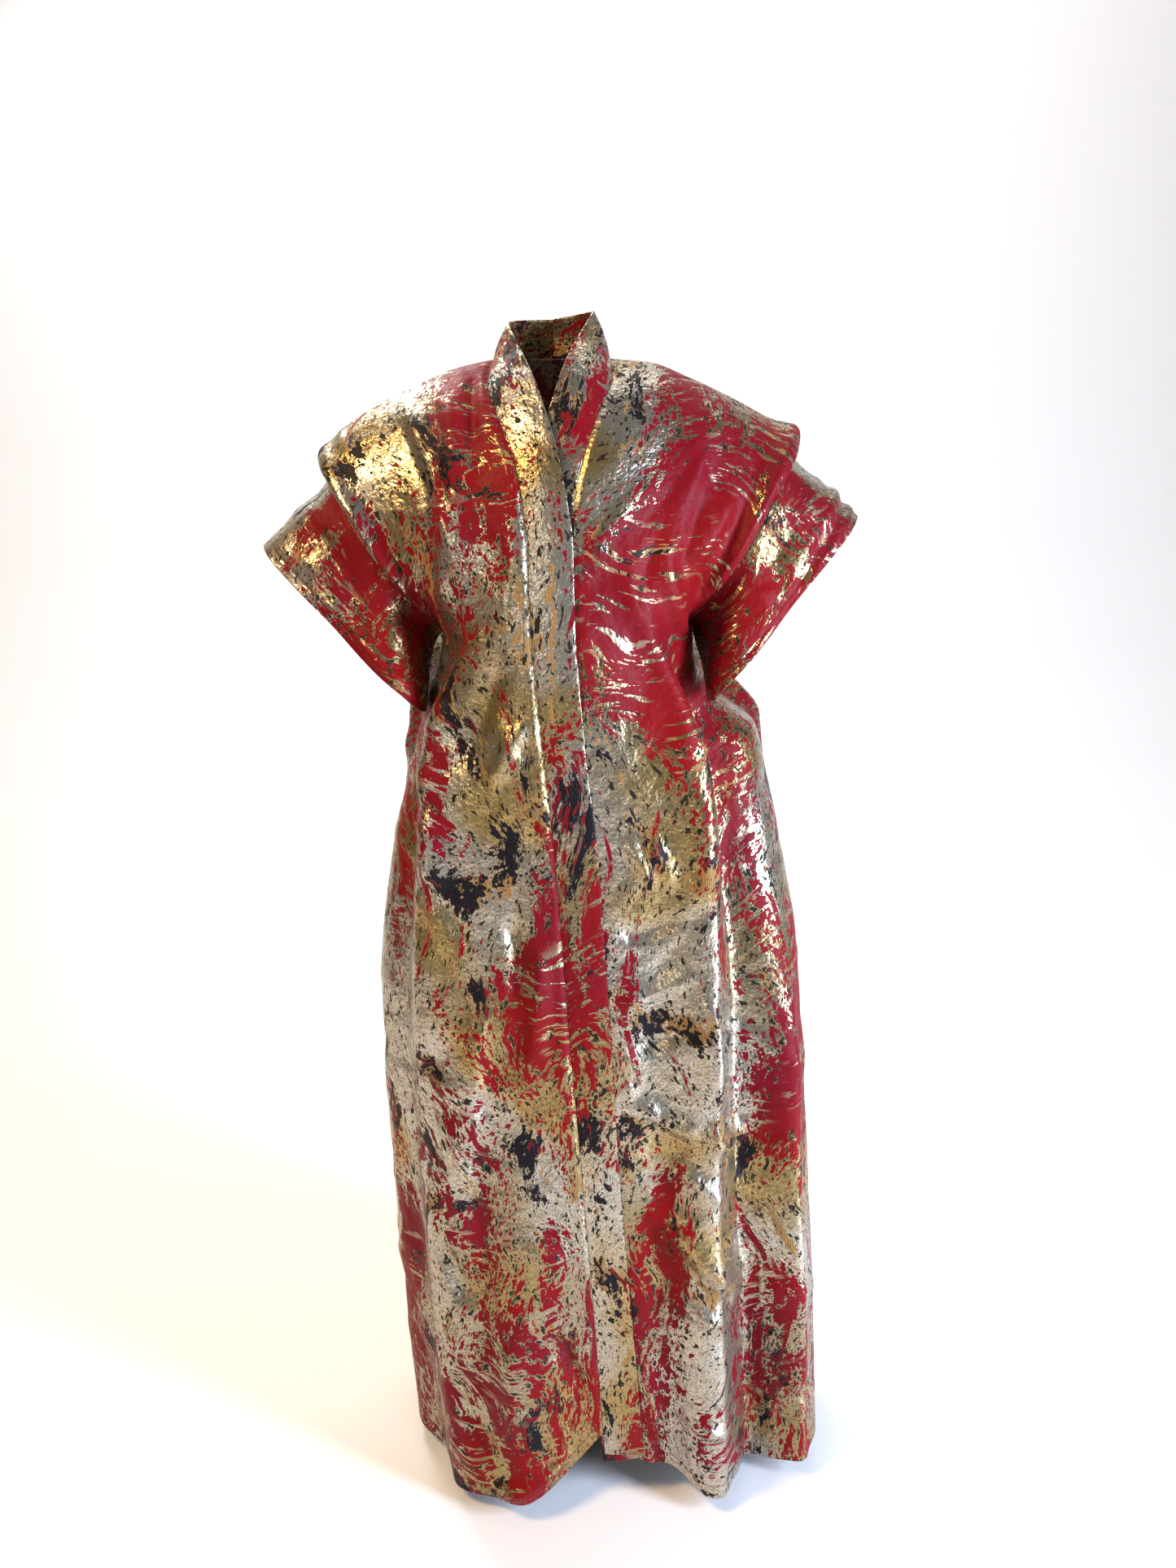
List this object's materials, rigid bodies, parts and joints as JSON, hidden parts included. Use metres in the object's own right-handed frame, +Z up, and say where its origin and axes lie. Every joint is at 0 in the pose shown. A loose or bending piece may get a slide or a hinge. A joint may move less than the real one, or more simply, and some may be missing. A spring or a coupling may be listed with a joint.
{
  "type": "grand boubou robe",
  "caption": "Full-length open-front robe of heavy brocade with square short sleeves and a doubled front band, holding its worn shape.",
  "frame": {"origin": "middle of the base of the neck, level with the top of the shoulders that carry the robe", "axes": "+Z up, +Y towards the robe's back, +X towards the wearer's left side"},
  "size_m": [0.7342, 0.3991, 1.5031],
  "materials": {
    "brocade_back": "metallic brocade",
    "brocade_front_right": "metallic brocade",
    "brocade_front_left": "metallic brocade",
    "brocade_sleeve_right": "metallic brocade",
    "brocade_sleeve_left": "metallic brocade",
    "brocade_band_right": "metallic brocade",
    "brocade_band_left": "metallic brocade"
  },
  "bodies": {
    "root": {"back": "brocade_back", "front_right": "brocade_front_right", "front_left": "brocade_front_left", "sleeve_right": "brocade_sleeve_right", "sleeve_left": "brocade_sleeve_left", "band_right": "brocade_band_right", "band_left": "brocade_band_left"}
  },
  "joints": []
}
